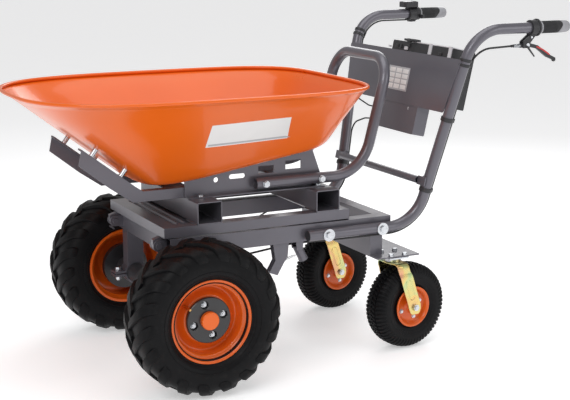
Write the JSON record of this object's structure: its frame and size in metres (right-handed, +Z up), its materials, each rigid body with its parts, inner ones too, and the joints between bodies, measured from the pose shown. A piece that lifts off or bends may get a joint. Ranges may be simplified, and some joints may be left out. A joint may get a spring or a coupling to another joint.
{
  "type": "power wheelbarrow",
  "caption": "Battery power wheelbarrow with a deep tipping steel tub, driven front wheels, swivel rear casters and raised handles carrying a battery, brake lever and thumb throttle.",
  "frame": {"origin": "on the ground under the middle of the overall box", "axes": "+X the driver's left, +Y back towards the driver along the longest extent, +Z up"},
  "size_m": [0.825, 1.5964, 0.985],
  "materials": {
    "frame_paint": "satin",
    "orange_paint": "gloss",
    "tyre": "matte",
    "zinc": "satin",
    "yellow_zinc": "satin",
    "black_metal": "satin",
    "grip_rubber": "matte",
    "cable_sheath": "satin",
    "black_plastic": "satin",
    "grey_plastic": "satin",
    "silver": "satin",
    "black_lever": "satin"
  },
  "bodies": {
    "chassis": {"rail_left": "frame_paint", "rail_right": "frame_paint", "cross_members": "frame_paint", "leg_left": "frame_paint", "leg_right": "frame_paint", "axle_housing": "black_metal", "drive_motor": "black_metal", "brake_drums": "black_metal", "axle_clamps": "frame_paint", "caster_mounts": "frame_paint", "caster_plates": "yellow_zinc", "chassis_bolts": "zinc", "handle_left": "frame_paint", "handle_right": "frame_paint", "handle_brace": "frame_paint", "panel": "frame_paint", "controller": "black_plastic", "battery_case": "black_plastic", "battery_pack": "black_plastic", "battery_straps": "silver", "grips": "grip_rubber", "grip_caps": "grey_plastic", "brake_perch": "black_lever", "display": "black_plastic", "throttle_body": "black_plastic", "cable_clips": "black_plastic", "brake_cable": "cable_sheath", "wiring_loom": "cable_sheath", "latch_bracket": "frame_paint", "hinge_pins": "zinc", "latch_spring": "zinc"},
    "tipper": {"tray_sides": "frame_paint", "tray_ends": "frame_paint", "tray_floor": "frame_paint", "pocket_front": "frame_paint", "pocket_rear": "frame_paint", "side_plates": "frame_paint", "tub_arms": "frame_paint", "tub": "orange_paint", "tip_hoop": "frame_paint", "tipper_bolts": "zinc"},
    "brake": {"brake_lever": "black_lever"},
    "throttle": {"throttle_lever": "black_plastic"},
    "latch": {"latch_pedal": "frame_paint"},
    "wheel_left": {"tyre_left": "tyre", "rim_left": "orange_paint", "hub_left": "black_metal", "hub_cap_left": "orange_paint"},
    "fork_left": {"caster_fork_left": "yellow_zinc", "caster_axle_left": "zinc"},
    "caster_left": {"caster_rim_left": "orange_paint", "caster_tyre_left": "tyre"},
    "wheel_right": {"tyre_right": "tyre", "rim_right": "orange_paint", "hub_right": "black_metal", "hub_cap_right": "orange_paint"},
    "fork_right": {"caster_fork_right": "yellow_zinc", "caster_axle_right": "zinc"},
    "caster_right": {"caster_rim_right": "orange_paint", "caster_tyre_right": "tyre"}
  },
  "joints": [
    {"name": "tip", "type": "hinge", "parent": "chassis", "child": "tipper", "pos_m": [0, -0.4485, 0.381], "axis": [1, 0, 0], "range_deg": [0, 70]},
    {"name": "brake_squeeze", "type": "hinge", "parent": "chassis", "child": "brake", "pos_m": [0.33, 0.6495, 0.896], "axis": [1, 0, 0], "range_deg": [0, 25], "stiffness_Nm_per_rad": 1, "springref_deg": -20.05},
    {"name": "throttle_push", "type": "hinge", "parent": "chassis", "child": "throttle", "pos_m": [-0.33, 0.688, 0.945], "axis": [0, 1, 0], "range_deg": [0, 50], "stiffness_Nm_per_rad": 0.2, "springref_deg": -17.19},
    {"name": "latch_push", "type": "hinge", "parent": "chassis", "child": "latch", "pos_m": [0.198, -0.03, 0.338], "axis": [1, 0, 0], "range_deg": [0, 25], "stiffness_Nm_per_rad": 3, "springref_deg": -11.46},
    {"name": "wheel_left_turn", "type": "hinge", "parent": "chassis", "child": "wheel_left", "pos_m": [0.332, -0.3815, 0.2125], "axis": [1, 0, 0], "continuous": true},
    {"name": "caster_left_swivel", "type": "hinge", "parent": "chassis", "child": "fork_left", "pos_m": [0.228, 0.2714, 0.285], "axis": [0, 0, 1], "continuous": true},
    {"name": "caster_left_roll", "type": "hinge", "parent": "fork_left", "child": "caster_left", "pos_m": [0.22175, 0.3195, 0.128], "axis": [0.9917, 0.1288, 0], "continuous": true},
    {"name": "wheel_right_turn", "type": "hinge", "parent": "chassis", "child": "wheel_right", "pos_m": [-0.332, -0.3815, 0.2125], "axis": [1, 0, 0], "continuous": true},
    {"name": "caster_right_swivel", "type": "hinge", "parent": "chassis", "child": "fork_right", "pos_m": [-0.228, 0.2714, 0.285], "axis": [0, 0, 1], "continuous": true},
    {"name": "caster_right_roll", "type": "hinge", "parent": "fork_right", "child": "caster_right", "pos_m": [-0.23425, 0.3195, 0.128], "axis": [0.9917, 0.1288, 0], "continuous": true}
  ]
}
